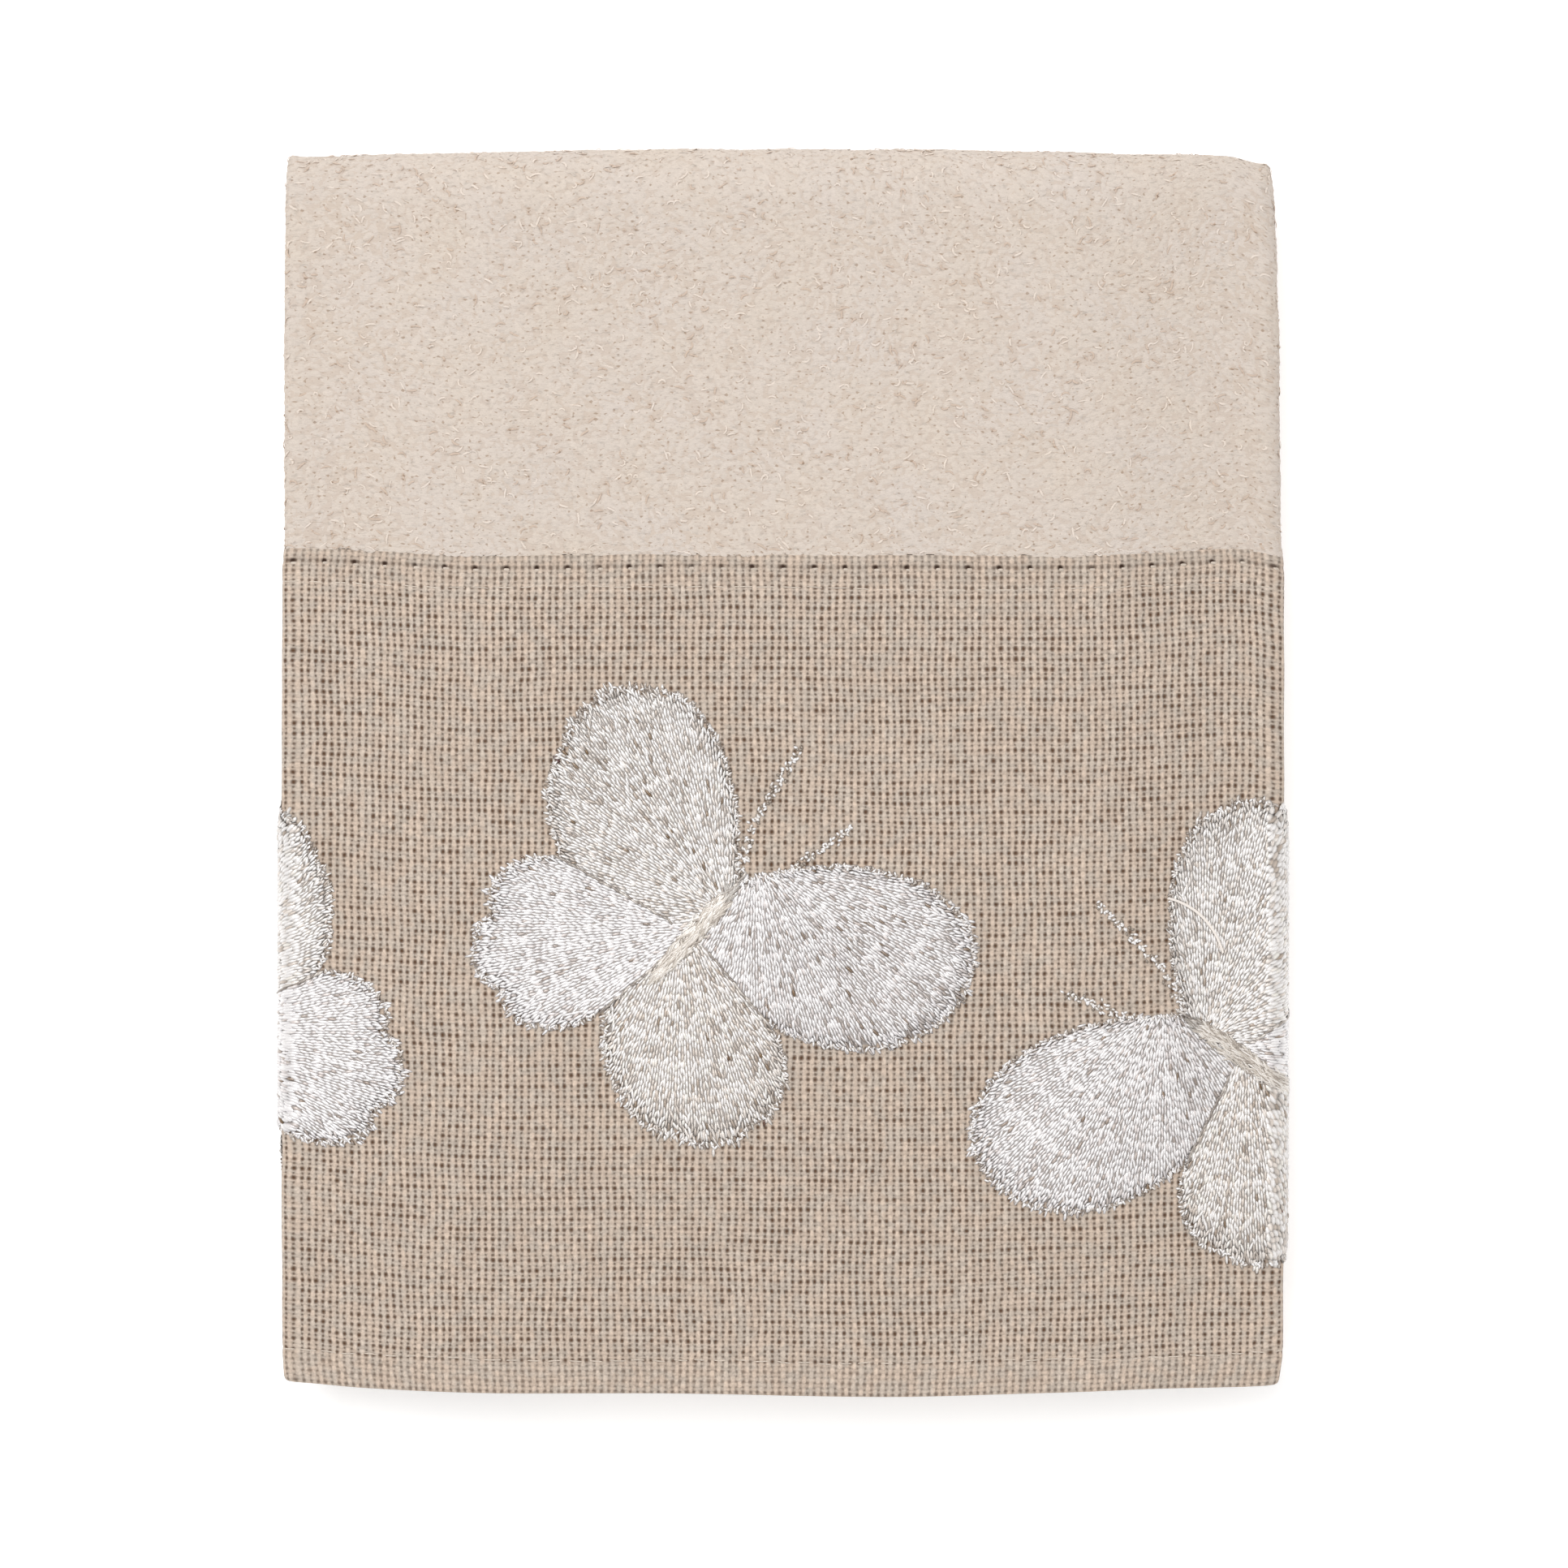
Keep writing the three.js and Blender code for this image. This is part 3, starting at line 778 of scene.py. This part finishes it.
def add_linen(material):
    """The band: its hem turned down over the terry's end, and a groove along each seam."""
    middle = [(along, LINEN_FACE) for along in np.linspace(8, SECOND_LINE - 3, 40)]
    lines = [
        (line + step, LINEN_FACE)
        for line in (HEM_LINE, SECOND_LINE, SEAM_LINE)
        for step in (-1, -0.6, -0.3, -0.15, 0, 0.15, 0.3, 0.6, 1)
    ]
    along, face = np.array(sorted([*BAND_HEM, *lines, *middle, *BAND_EDGE])).T
    back = np.where(along <= LINEN_THICKNESS, -FACE, LINEN_BACK)
    across = np.unique(np.concatenate([np.arange(-66, 67, 1.0), places_across(step=3)]).round(6))
    wide, long = np.meshgrid(across, along)
    uneven = 0.035 * soft_noise(wide, long, size=6, seed=31) * (long > 1)
    face = face[:, None] - sewn_grooves(wide, long) + uneven
    points, faces = closed_sheet(across, along, back[:, None], face)
    return add_mesh("linen", material, points, faces, tone=1)


def running_line(seed, line, half_run, pitch, length, half_width, base, waver):
    """A row of running stitches along the cloth's width."""
    draws = np.random.default_rng(seed)
    across = np.arange(-half_run, half_run, pitch) + pitch / 2
    count = len(across)
    across = across + draws.normal(0, 0.08, count)
    waving = waver * soft_noise(across, 0 * across, size=25, seed=seed)
    along = line + waving + draws.normal(0, 0.05, count)
    return threads(
        stacked(across, along),
        heading=draws.normal(0, 0.06, count),
        length=length * draws.uniform(0.8, 1.1, count),
        bend=draws.normal(0, 0.15, count),
        half_width=half_width, crown=half_width * 0.9, base=base, lift=0.1,
        tone=np.array(SEWING_COLOUR) * draws.uniform(0.9, 1.1, (count, 1)), steps=6,
    )


def add_seams(material):
    return add_mesh("seam_stitches", material, *joined([running_line(**row) for row in SEWING]))


# The embroidery

# The butterfly's four wings, drawn as plain lobes round the middle of its body, in millimetres and
# degrees. A wing lies between two notches, at the angles start and stop, and reaches furthest at
# tip. Its threads fan out from its root, given by distances to the right and up from that middle.
# Each wing's tint is its threads' colour together with painted light: wings whose stitches catch
# the light more are brighter
WINGS = (
    dict(start=50, tip=105, stop=150, notch=10, reach=34, rise=2, fall=1, scallops=4, depth=1,
         root=(4.5, 2.5), tint=(0.987, 0.949, 0.906)),
    dict(start=150, tip=185, stop=220, notch=20, reach=29, rise=0.5, fall=0.5, scallops=3, depth=2,
         root=(2.0, 1.0), tint=(1.2, 1.185, 1.215)),
    dict(start=220, tip=275, stop=310, notch=15, reach=28, rise=1, fall=0.5, scallops=4, depth=1,
         root=(-1.5, 2.5), tint=(1.008, 0.951, 0.89)),
    dict(start=310, tip=355, stop=410, notch=15, reach=37, rise=1, fall=2, scallops=1, depth=0,
         root=(8.0, 10.0), tint=(1.04, 1.02, 1.035)),
)

# The body, and for each antenna its end's angle, its reach and its bow
BODY_ANGLE = 49
BODY_LENGTH = 16
BODY_WIDTH = 2.4
ANTENNAE = ((60, 28, 5), (35, 25, -5))

BUTTERFLIES = {
    "butterfly_left": dict(across=-78, along=44.2, mirrored=True, tilt=-1, light=1.03),
    "butterfly_centre": dict(across=-11.6, along=60, mirrored=False, tilt=0, light=1),
    "butterfly_right": dict(across=59.6, along=43.4, mirrored=True, tilt=13, light=0.95),
}


def wing_radius(degrees):
    """How far the wings reach from the body's middle, and which wing that is, at each angle."""
    turned = np.mod(degrees - WINGS[0]["start"], 360) + WINGS[0]["start"]
    which = np.clip(np.searchsorted([wing["stop"] for wing in WINGS], turned), 0, len(WINGS) - 1)
    radius = np.zeros(np.shape(turned))
    for i, wing in enumerate(WINGS):
        rising = turned < wing["tip"]
        notch = np.where(rising, wing["notch"], WINGS[(i + 1) % len(WINGS)]["notch"])
        up = (turned - wing["start"]) / (wing["tip"] - wing["start"])
        down = (wing["stop"] - turned) / (wing["stop"] - wing["tip"])
        t = np.clip(np.where(rising, up, down), 0, 1)
        lobe = np.sin(np.pi / 2 * t) ** np.where(rising, wing["rise"], wing["fall"])
        share = (turned - wing["start"]) / (wing["stop"] - wing["start"])
        dent = wing["depth"] * (1 - np.abs(np.sin(np.pi * wing["scallops"] * share))) ** 1.5 * lobe
        radius = np.where(which == i, mix(notch, wing["reach"], lobe) - dent, radius)
    return radius, which


def placed(butterfly, right, up, heading=0):
    """Places and headings on the flat cloth, from those round the butterfly's body."""
    if butterfly["mirrored"]:
        right = -right
        heading = math.pi - heading
    tilt = math.radians(butterfly["tilt"])
    across = butterfly["across"] + right * math.cos(tilt) - up * math.sin(tilt)
    along = butterfly["along"] + right * math.sin(tilt) + up * math.cos(tilt)
    return stacked(across, along), heading + tilt


def round_body(radius, degrees):
    """How far to the right of the body's middle and up from it, by distance and angle."""
    turned = np.radians(degrees)
    return radius * np.cos(turned), radius * np.sin(turned)


def shows(middle):
    """True for places on the panel or round a side fold, which can be seen."""
    return np.abs(middle[:, 0]) < PANEL_HALF + 0.9 * SIDE_RUN


def side_stretch(middle):
    """How much wider the stitches are made round a side fold."""
    on_turn = np.abs(middle[:, 0]) > PANEL_HALF
    return np.where(on_turn, 1 + LINEN_FACE / SIDE_RADIUS, 1)


# The padding under the stitches: its level over the linen at its rim, its rise and over what run,
# and how far its own faces lie inside the rim and below that level
PADDING_LEVEL = 0.05
PADDING_RISE = 0.35
PADDING_RUN = 2.2
PADDING_INSET = 1.1
PADDING_DROP = 0.04
PADDING_ANGLES = 240
PADDING_RINGS = 36
# The padding's colour is painted shade, seen in the gaps between the stitches
PADDING_SHADE_TONE = (0.36, 0.324, 0.2952)


def padding_level(radius, limit):
    """The padding's level at a radius, from the wings' radius there."""
    return LINEN_FACE + PADDING_LEVEL + PADDING_RISE * smooth((limit - radius) / PADDING_RUN)


def wing_padding(butterfly):
    """The padding: rings of faces, the last of which dips into the linen."""
    angles = np.linspace(0, 360, PADDING_ANGLES + 1)[:-1]
    limit = wing_radius(angles)[0] - PADDING_INSET
    radius = np.linspace(0.02, 1, PADDING_RINGS)[:, None] * limit
    out = padding_level(radius, limit) - PADDING_DROP
    out[-1] = LINEN_FACE - 0.05
    places = placed(butterfly, *round_body(radius, angles))[0]
    points = np.concatenate([places, out[..., None]], axis=-1).reshape(-1, 3)
    index = np.arange(radius.size).reshape(radius.shape)
    faces = grid_faces(np.concatenate([index, index[:, :1]], axis=1))
    if not butterfly["mirrored"]:
        faces = faces[:, ::-1]
    return points, faces, np.tile(PADDING_SHADE_TONE, (len(points), 1))


# The fill stitches lie in lines that fan out from a wing's root, in rings that widen outwards
STITCH_PITCH = 0.36
STITCH_LENGTH = 0.95
FIRST_RING = 1.2
RING_GROWTH = 1.22
FAN_REACH = 46

# How much lighter or darker lines and stitches are by chance, the share of stitches in shade with
# their light and tint, and the light of the others
LINE_CHANCE = 0.06
STITCH_CHANCE = 0.19
SHADED_SHARE = 0.26
SHADED_LIGHT = (-0.4, -0.12)
OPEN_LIGHT = 0.08
SHADE_TINT = np.array((0.085, -0.01, -0.09))

# Painted sheen and shade: how much lighter or darker they are over broad swells, over fine
# glinting ones and by their heading, and the painted light at the rim and further in
SATIN_SHEEN = 0.06
GLINT_GRAIN = 0.08
LUSTRE = 0.09
LUSTRE_ANGLE = 40
RIM_LIGHT = 0.79
INNER_LIGHT = 1.02
RIM_RUN = 7


def fan_stitches(draws, root):
    """Middles, headings, lengths and shades of a wing's stitches, in lines that fan out."""
    rings = []
    inner = FIRST_RING
    while inner < FAN_REACH:
        outer = inner * RING_GROWTH
        lines = math.ceil(2 * math.pi * (inner + outer) / 2 / STITCH_PITCH)
        heading = (np.arange(lines) + draws.uniform()) * 2 * math.pi / lines
        steps = math.ceil((outer - inner) / STITCH_LENGTH) + 2
        phase = draws.uniform(-1, 0, (lines, 1))
        length = STITCH_LENGTH * draws.uniform(0.7, 1.3, (lines, steps))
        reach = inner + phase * STITCH_LENGTH + np.cumsum(length, axis=1) - length / 2
        keep = (reach >= inner - STITCH_LENGTH / 4) & (reach < outer + STITCH_LENGTH / 4)
        shade = np.broadcast_to(draws.normal(0, LINE_CHANCE, (lines, 1)), reach.shape)
        count = keep.sum()
        shaded = draws.random(count) < SHADED_SHARE
        light = np.where(shaded, draws.uniform(*SHADED_LIGHT, count), OPEN_LIGHT)
        shade = shade[keep] + light + draws.normal(0, STITCH_CHANCE, count)
        heading = np.broadcast_to(heading[:, None], reach.shape)[keep]
        ahead = stacked(np.cos(heading), np.sin(heading))
        rings.append((root + reach[keep][:, None] * ahead, heading, length[keep], shade))
        inner = outer
    return [np.concatenate(values) for values in zip(*rings)]


def wing_stitches(butterfly, seed):
    """The fill stitches of all four wings, where they show."""
    parts = []
    for wing_number, wing in enumerate(WINGS):
        draws = np.random.default_rng(seed + wing_number)
        middle, heading, length, shade = fan_stitches(draws, wing["root"])
        right, up = middle.T
        radius = np.hypot(right, up)
        limit, which = wing_radius(np.degrees(np.arctan2(up, right)))
        places, heading = placed(butterfly, right, up, heading)

        # The rim is ragged: the last stitches end a little outside it or some way inside it
        short = draws.uniform(-0.6, 0.3, len(radius))
        short += np.where(draws.random(len(radius)) < 0.5, draws.uniform(0, 1.6, len(radius)), 0)
        keep = (which == wing_number) & (radius < limit - short) & shows(places)
        places, heading, length, shade, radius, limit, right, up = (
            values[keep] for values in (places, heading, length, shade, radius, limit, right, up)
        )
        count = len(places)
        inward = smooth((limit - radius) / RIM_RUN)
        half_width = STITCH_PITCH * 0.5 * draws.uniform(0.7, 1.25, count) * side_stretch(places)
        # Painted sheen over broad swells, painted glints over fine ones and by heading, and painted
        # shade at the rim
        satin_sheen = SATIN_SHEEN * soft_noise(right, up, size=4, seed=seed + wing_number)
        glint_grain = GLINT_GRAIN * soft_noise(right, up, size=1.1, seed=seed + wing_number + 50)
        lustre = LUSTRE * np.cos(2 * (heading - math.radians(LUSTRE_ANGLE)))
        light = butterfly["light"] * (1 + shade + satin_sheen + glint_grain + lustre)
        light = light * mix(RIM_LIGHT, INNER_LIGHT, inward)
        tone = light[:, None] * np.array(wing["tint"]) + np.maximum(-shade, 0)[:, None] * SHADE_TINT
        parts.append(threads(
            places, heading + draws.normal(0, mix(0.24, 0.12, inward)), length * 1.15,
            bend=draws.normal(0, 0.25, count), half_width=half_width, crown=half_width * 0.75,
            base=padding_level(radius, limit) - 0.05, lift=draws.uniform(0.05, 0.11, count),
            tone=tone, edge=0.44, crest=1.17, end=0.58, steps=3,
        ))
    return parts


# The stitches along a path, their base over the linen. They stray from its heading at random, by
# wobble, and to and fro by turns, by swing, and from the path itself by scatter.
RIM_STITCHES = dict(
    pitch=0.3, length=0.65, half_width=0.13, base=0.16, wobble=0.5, swing=1.15, scatter=0.17,
    tones=((0.3, 0.25, 0.21), (0.55, 0.5, 0.45), (0.85, 0.82, 0.79), (1, 0.98, 0.96), (1, 1, 1)),
)
GAP_STITCHES = dict(
    pitch=0.6, length=1.2, half_width=0.15, base=0.44, wobble=0.16, swing=0, scatter=0.05,
    tones=((0.26, 0.22, 0.19), (0.38, 0.34, 0.3), (0.66, 0.62, 0.57)),
)
ANTENNA_STITCHES = dict(
    pitch=0.17, length=0.55, half_width=0.15, base=0.06, wobble=1.2, swing=0, scatter=0.32,
    tones=((0.3, 0.25, 0.2), (0.8, 0.77, 0.73), (1, 0.99, 0.98), (1, 1, 1)),
)


def path_stitches(butterfly, path, draws, pitch, length, half_width, base, wobble, swing, scatter,
                  tones):
    """Stitches along a path round the body, where they show."""
    run = np.concatenate([[0], np.cumsum(np.hypot(*np.diff(path)))])
    count = max(1, round(run[-1] / pitch))
    at = (np.arange(count) + 0.5) * run[-1] / count
    reach = 0.45 * pitch
    back, middle, ahead = (
        np.array([np.interp(at + step, run, line) for line in path]) for step in (-reach, 0, reach)
    )
    heading = np.arctan2(*(ahead - back)[::-1]) + draws.normal(0, wobble, count)
    heading += swing * np.where(np.arange(count) % 2, 1, -1)
    places, heading = placed(butterfly, *middle, heading)
    places = places + draws.normal(0, scatter, places.shape)
    keep = shows(places)
    places, heading = places[keep], heading[keep]
    count = len(places)
    return threads(
        places, heading, length * draws.uniform(0.85, 1.15, count),
        bend=draws.normal(0, 0.15, count), half_width=half_width, crown=half_width,
        base=LINEN_FACE + base, lift=draws.uniform(0.08, 0.18, count),
        tone=np.array(tones)[draws.integers(0, len(tones), count)], edge=0.7, crest=1.1, end=0.7,
    )


def outline_stitches(butterfly, draws):
    """Uneven short stitches across each wing's rim, and a darker thread between the wings."""
    parts = []
    for wing in WINGS:
        angles = np.linspace(wing["start"] + 0.5, wing["stop"] - 0.5, 160)
        rim = round_body(wing_radius(angles)[0] - 0.45, angles)
        parts.append(path_stitches(butterfly, rim, draws, **RIM_STITCHES))
        gap = round_body(np.linspace(3.2, wing["notch"] + 0.5, 20), wing["start"])
        parts.append(path_stitches(butterfly, gap, draws, **GAP_STITCHES))
    return parts


BODY_STITCHES = 420
BODY_TONES = ((0.86, 0.83, 0.78), (0.38, 0.33, 0.28), (0.6, 0.55, 0.48), (0.74, 0.7, 0.64))
HEAD_TONE = 0.62


def body_stitches(butterfly, draws):
    """The body: long stitches laid side by side along it, and a darker knot at the head."""
    along = draws.uniform(-1, 1, BODY_STITCHES)
    aside = draws.uniform(-1, 1, BODY_STITCHES) * np.sqrt(np.clip(1 - along**2, 0, 1))
    turned = math.radians(BODY_ANGLE)
    long, wide = along * BODY_LENGTH / 2, aside * BODY_WIDTH / 2
    right = long * math.cos(turned) - wide * math.sin(turned)
    up = long * math.sin(turned) + wide * math.cos(turned)
    places, heading = placed(butterfly, right, up, turned + draws.normal(0, 0.3, BODY_STITCHES))
    keep = shows(places)
    places, heading, along, aside = places[keep], heading[keep], along[keep], aside[keep]
    count = len(places)
    half_width = draws.uniform(0.12, 0.17, count)
    light = mix(1, HEAD_TONE, smooth((along - 0.72) / 0.12))[:, None]
    return threads(
        places, heading, length=draws.uniform(1.4, 2.6, count), bend=draws.normal(0, 0.1, count),
        half_width=half_width, crown=half_width * 0.9,
        base=LINEN_FACE + 0.38 + 0.3 * (1 - aside**2) * (1 - along**4),
        lift=draws.uniform(0.04, 0.12, count),
        tone=np.array(BODY_TONES)[draws.integers(0, len(BODY_TONES), count)] * light,
        edge=0.7, crest=1.08, end=0.8,
    )


def antenna_stitches(butterfly, draws):
    """Two glittering lines from the head, of short tangled stitches."""
    parts = []
    for angle, reach, bow in ANTENNAE:
        share = np.linspace(0, 1, 40)
        radius = mix(BODY_LENGTH / 2 - 0.4, reach, share)
        degrees = mix(BODY_ANGLE, angle, smooth(share * 2.4) ** 0.7) + bow * share * (1 - share)
        path = round_body(radius, degrees)
        parts.append(path_stitches(butterfly, path, draws, **ANTENNA_STITCHES))
    return parts


FIBRE_ENDS = ((50, 64.3), (57.3, 56.8))
FIBRE_BOW = 1.4
FIBRE_HALF_WIDTH = 0.17
FIBRE_CROWN = 0.14
FIBRE_TONE = (0.95, 0.9, 0.84)


def loose_fibre():
    """One pale stray fibre in a low arc over the butterfly on the right."""
    share = np.linspace(0, 1, 24)[:, None]
    first, last = np.array(FIBRE_ENDS)
    ahead = (last - first) / np.linalg.norm(last - first)
    aside = np.array([-ahead[1], ahead[0]])
    path = first + share * (last - first) + 4 * FIBRE_BOW * share * (1 - share) * aside
    base = np.full((len(share), 1), STITCH_FACE - 0.08)
    lines = [
        np.hstack([path + FIBRE_HALF_WIDTH * aside * side, base + FIBRE_CROWN * (side == 0)])
        for side in (1, 0, -1)
    ]
    points, faces = ridges(np.stack(lines, axis=1)[None])
    return points, faces, np.tile(FIBRE_TONE, (len(points), 1))


def add_butterflies(material):
    """Each butterfly's embroidery in one piece, by its node's name."""
    pieces = {}
    for number, (name, butterfly) in enumerate(BUTTERFLIES.items(), 1):
        seed = 100 * number
        outline, body, antennae = (np.random.default_rng(seed + step) for step in (10, 20, 30))
        parts = [wing_padding(butterfly), *wing_stitches(butterfly, seed)]
        parts += outline_stitches(butterfly, outline)
        parts.append(body_stitches(butterfly, body))
        parts += antenna_stitches(butterfly, antennae)
        if name == "butterfly_right":
            parts.append(loose_fibre())
        points, faces, tone = joined(parts)
        pieces[name] = add_mesh(name + "_stitches", material, points, faces, np.minimum(tone, 1))
    return pieces


# The studio

CAMERA_LENS = 100
CAMERA_SENSOR = 36
VIEW_WIDTH = 204.6
VIEW_LEVEL = 13
VIEW_CENTRE = (0.13, -1.97)

# The light, in metres and watts
WORLD_STRENGTH = 0.69
KEY_LIGHT = dict(place=(-0.28, 0.42, 1), size=0.7, power=6.1)
FILL_LIGHT = dict(place=(0.3, -0.35, 1), size=0.9, power=0.9)

# The floor, in metres. It glows a little, so that it stays pale under soft light.
FLOOR_HALF = 1.5
FLOOR_LEVEL = -0.0002
FLOOR_PAPER = dict(Base_Color=(0.96, 0.96, 0.96, 1), Roughness=0.9, Emission_Color=(1, 1, 1, 1),
                   Emission_Strength=0.28)


def add_camera():
    """Straight above the cloth, which the photograph shows face on."""
    data = bpy.data.cameras.new("camera")
    data.lens = CAMERA_LENS
    data.sensor_width = CAMERA_SENSOR
    distance = VIEW_WIDTH * CAMERA_LENS / CAMERA_SENSOR
    camera = add_object("camera", data)
    camera.location = (VIEW_CENTRE[0] * MM, VIEW_CENTRE[1] * MM, (VIEW_LEVEL + distance) * MM)
    bpy.context.scene.camera = camera


def add_area_light(name, place, size, power):
    """A large soft light aimed at the middle of the cloth's footprint."""
    data = bpy.data.lights.new(name, "AREA")
    data.size = size
    data.energy = power
    light = add_object(name, data)
    light.location = place
    light.rotation_euler = (-Vector(place)).to_track_quat("-Z", "Y").to_euler()


def add_lights():
    """Soft light from above: a key from the side of the fold, a faint fill, and an even sky."""
    world = bpy.data.worlds.new("studio")
    world.use_nodes = True
    sky = world.node_tree.nodes["Background"]
    sky.inputs["Color"].default_value = (1, 1, 1, 1)
    sky.inputs["Strength"].default_value = WORLD_STRENGTH
    bpy.context.scene.world = world
    add_area_light("key", **KEY_LIGHT)
    add_area_light("fill", **FILL_LIGHT)


def add_floor():
    """A plain pale floor just under the cloth."""
    signs = ((-1, -1), (1, -1), (1, 1), (-1, 1))
    corners = [(FLOOR_HALF * x, FLOOR_HALF * y, FLOOR_LEVEL) for x, y in signs]
    mesh = bpy.data.meshes.new("floor")
    mesh.from_pydata(corners, [], [(0, 1, 2, 3)])
    mesh.materials.append(Graph("floor_paper", **FLOOR_PAPER).material)
    add_object("floor", mesh)


def set_plain_colours():
    """Shows colours as they are, with no film look over them."""
    bpy.context.scene.view_settings.view_transform = "Standard"


def main():
    add_camera()
    cotton = terry_material()
    terry = add_terry(cotton)
    pile = add_pile(cotton)
    linen = add_linen(linen_material())
    seams = add_seams(cotton_material())
    butterflies = add_butterflies(thread_material())
    for piece in [terry, *pile, linen, seams, *butterflies.values()]:
        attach(piece, "root")
    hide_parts("terry_cloth")
    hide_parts("linen_band")
    for node, piece in butterflies.items():
        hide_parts(node)
    add_lights()
    add_floor()
    set_plain_colours()


main()
